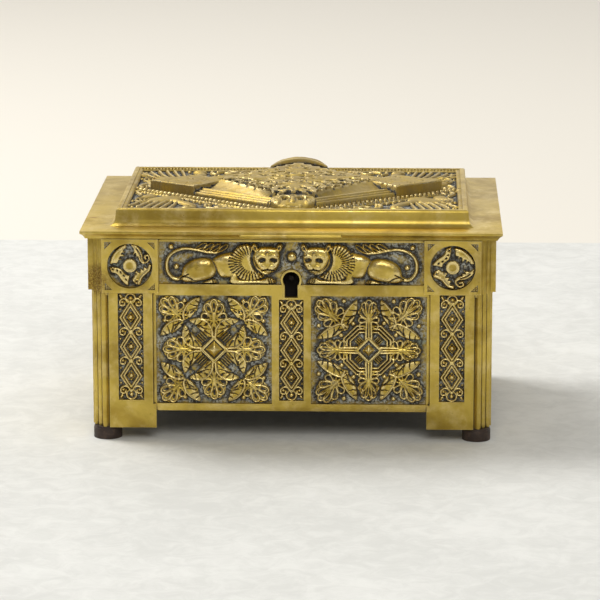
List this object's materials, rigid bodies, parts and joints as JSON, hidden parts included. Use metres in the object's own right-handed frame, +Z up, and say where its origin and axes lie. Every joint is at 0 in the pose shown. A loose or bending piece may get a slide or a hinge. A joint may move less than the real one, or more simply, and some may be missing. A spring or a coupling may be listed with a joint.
{
  "type": "needle case",
  "caption": "Rectangular brass casket with relief plates, reeded cut corners, disc feet, a hinged overhanging lid with a raised lozenge crest, and a keyhole lock.",
  "frame": {"origin": "under the middle of the case, on the surface that its feet stand on", "axes": "+X along the long side, to the right as the keyhole is faced, -Y out of the front, +Z up"},
  "size_m": [0.15, 0.1093, 0.0883],
  "materials": {
    "plain_brass": "aged cast brass, rubbed bright on its edges",
    "relief_brass": "aged relief brass with dark and grey deposits in its hollows",
    "lock_steel": "dull",
    "velvet": "pile",
    "foot_leather": "dull dark brown"
  },
  "bodies": {
    "case": {"front_panel": "plain_brass", "back_panel": "plain_brass", "left_panel": "plain_brass", "right_panel": "plain_brass", "corner_post_front_left": "plain_brass", "corner_post_front_right": "plain_brass", "corner_post_back_left": "plain_brass", "corner_post_back_right": "plain_brass", "frieze_plate_front": "relief_brass", "frieze_plate_back": "relief_brass", "frieze_plate_left": "relief_brass", "frieze_plate_right": "relief_brass", "rosette_plate_front_left": "relief_brass", "rosette_plate_front_right": "relief_brass", "rosette_plate_back_left": "relief_brass", "rosette_plate_back_right": "relief_brass", "rosette_plate_left": "relief_brass", "rosette_plate_right": "relief_brass", "interlace_plate_front": "relief_brass", "interlace_plate_back": "relief_brass", "bead_strips_left": "relief_brass", "bead_strips_right": "relief_brass", "roundels_front": "relief_brass", "roundels_back": "relief_brass", "roundels_left": "relief_brass", "roundels_right": "relief_brass", "pilaster_strips_front": "relief_brass", "pilaster_strips_back": "relief_brass", "pilaster_strips_left": "relief_brass", "pilaster_strips_right": "relief_brass", "floor_plate": "plain_brass", "foot_front_left": "foot_leather", "foot_front_right": "foot_leather", "foot_back_left": "foot_leather", "foot_back_right": "foot_leather", "foot_screws": "plain_brass", "floor_lining": "velvet", "wall_lining": "velvet", "hinge_case_leaf_left": "plain_brass", "hinge_case_leaf_right": "plain_brass", "hinge_pin_left": "lock_steel", "hinge_pin_right": "lock_steel", "lock_case": "lock_steel", "lock_key_pin": "lock_steel", "lock_spring": "lock_steel", "lock_screws": "lock_steel"},
    "lid": {"lid_frame": "plain_brass", "lid_plate": "relief_brass", "lid_crest": "relief_brass", "lid_pad": "velvet", "strike_plate": "lock_steel", "strike_screws": "lock_steel", "hinge_lid_leaf_left": "plain_brass", "hinge_lid_leaf_right": "plain_brass"},
    "lock_bolt": {"lock_bolt": "lock_steel"}
  },
  "joints": [
    {"name": "lid_hinge", "type": "hinge", "parent": "case", "child": "lid", "pos_m": [0, 0.0521, 0.0725], "axis": [-1, 0, 0], "range_deg": [0, 100]},
    {"name": "bolt_slide", "type": "slide", "parent": "case", "child": "lock_bolt", "axis": [1, 0, 0], "range_m": [0, 0.0045]}
  ]
}
